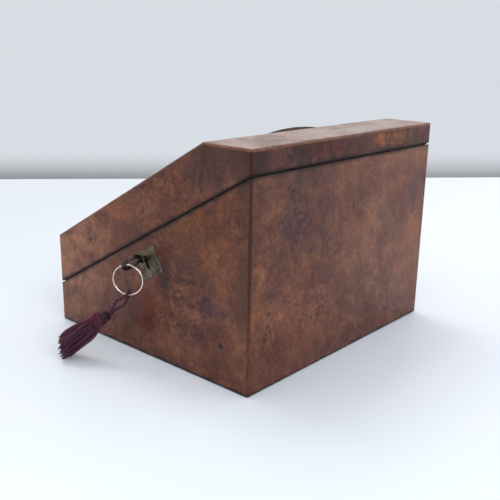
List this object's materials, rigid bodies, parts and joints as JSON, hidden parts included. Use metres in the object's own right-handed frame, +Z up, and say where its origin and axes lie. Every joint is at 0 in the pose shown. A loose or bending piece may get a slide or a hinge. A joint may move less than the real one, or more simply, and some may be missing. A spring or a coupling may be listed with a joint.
{
  "type": "wooden money box",
  "caption": "Slope-fronted burr-walnut money box whose side-hinged lid closes on a link-plate lock, with a coin slot and a key on a tasselled ring.",
  "frame": {"origin": "on the underside, at the middle of the box's base", "axes": "+Z up, +X out of the lock side, +Y towards the tall back, the low front at -Y"},
  "size_m": [0.2538, 0.188, 0.15],
  "materials": {
    "burr_veneer": "polished burr walnut, reddish brown",
    "carcase_wood": "oiled plain wood",
    "baize": "worn baize",
    "old_brass": "aged brass",
    "dull_brass": "tarnished, dull grey-green",
    "brass_screws": "aged brass",
    "steel": "dull",
    "key_iron": "dark, handled",
    "ring_plate": "bright",
    "silk": "silky crimson cord"
  },
  "bodies": {
    "box": {"bottom_board": "carcase_wood", "back_board": "carcase_wood", "front_board": "carcase_wood", "lock_side_board": "carcase_wood", "hinge_side_board": "carcase_wood", "back_veneer": "burr_veneer", "front_veneer": "burr_veneer", "lock_side_veneer": "burr_veneer", "hinge_side_veneer": "burr_veneer", "base_baize": "baize", "escutcheon": "dull_brass", "lock_case": "old_brass", "lock_cap": "old_brass", "drill_pin": "steel", "lock_screws": "brass_screws", "hinge_body_leaves": "old_brass", "hinge_pins": "steel", "hinge_body_screws": "brass_screws"},
    "lid": {"lid_top_board": "carcase_wood", "lid_slope_board": "carcase_wood", "lid_back_rail": "carcase_wood", "lid_front_rail": "carcase_wood", "lid_lock_side_board": "carcase_wood", "lid_hinge_side_board": "carcase_wood", "lid_top_veneer": "burr_veneer", "lid_slope_veneer": "burr_veneer", "lid_back_veneer": "burr_veneer", "lid_front_veneer": "burr_veneer", "lid_lock_side_veneer": "burr_veneer", "lid_hinge_side_veneer": "burr_veneer", "slot_mount": "old_brass", "slot_pins": "brass_screws", "link_plate": "old_brass", "link_screws": "brass_screws", "hinge_lid_leaves": "old_brass", "hinge_lid_screws": "brass_screws"},
    "bolt": {"lock_bolt": "old_brass", "bolt_spring": "steel"},
    "key": {"key": "key_iron"},
    "ring": {"key_ring": "ring_plate"},
    "cord": {"tassel_loop": "silk"},
    "tassel": {"tassel_knot": "silk", "tassel_head": "silk", "tassel_collar": "silk", "tassel_skirt": "silk"}
  },
  "joints": [
    {"name": "lid_hinge", "type": "hinge", "parent": "box", "child": "lid", "pos_m": [-0.1014, 0, 0.08198], "axis": [0, -0.8718, -0.4898], "range_deg": [0, 95]},
    {"name": "key_turn", "type": "hinge", "parent": "box", "child": "key", "pos_m": [0.101, 0.00374, 0.0686], "axis": [1, 0, 0], "range_deg": [0, 136]},
    {"name": "bolt_slide", "type": "slide", "parent": "box", "child": "bolt", "axis": [0, -0.8718, -0.4898], "range_m": [0, 0.0042]},
    {"name": "ring_swing", "type": "hinge", "parent": "key", "child": "ring", "pos_m": [0.11295, 0.00042, 0.06291], "axis": [-0.866, -0.5, 0], "range_deg": [0, 40]},
    {"name": "tassel_sweep", "type": "hinge", "parent": "ring", "child": "cord", "pos_m": [0.1132, -0.00001, 0.04591], "axis": [0, 0, 1], "range_deg": [-20, 20]},
    {"name": "tassel_lift", "type": "hinge", "parent": "cord", "child": "tassel", "pos_m": [0.12124, -0.00959, 0.03297], "axis": [-0.766, -0.6428, 0], "range_deg": [0, 50]}
  ],
  "couplings": [
    {"joint": "bolt_slide", "follows": "key_turn", "m_per_rad": 0.0017693}
  ]
}
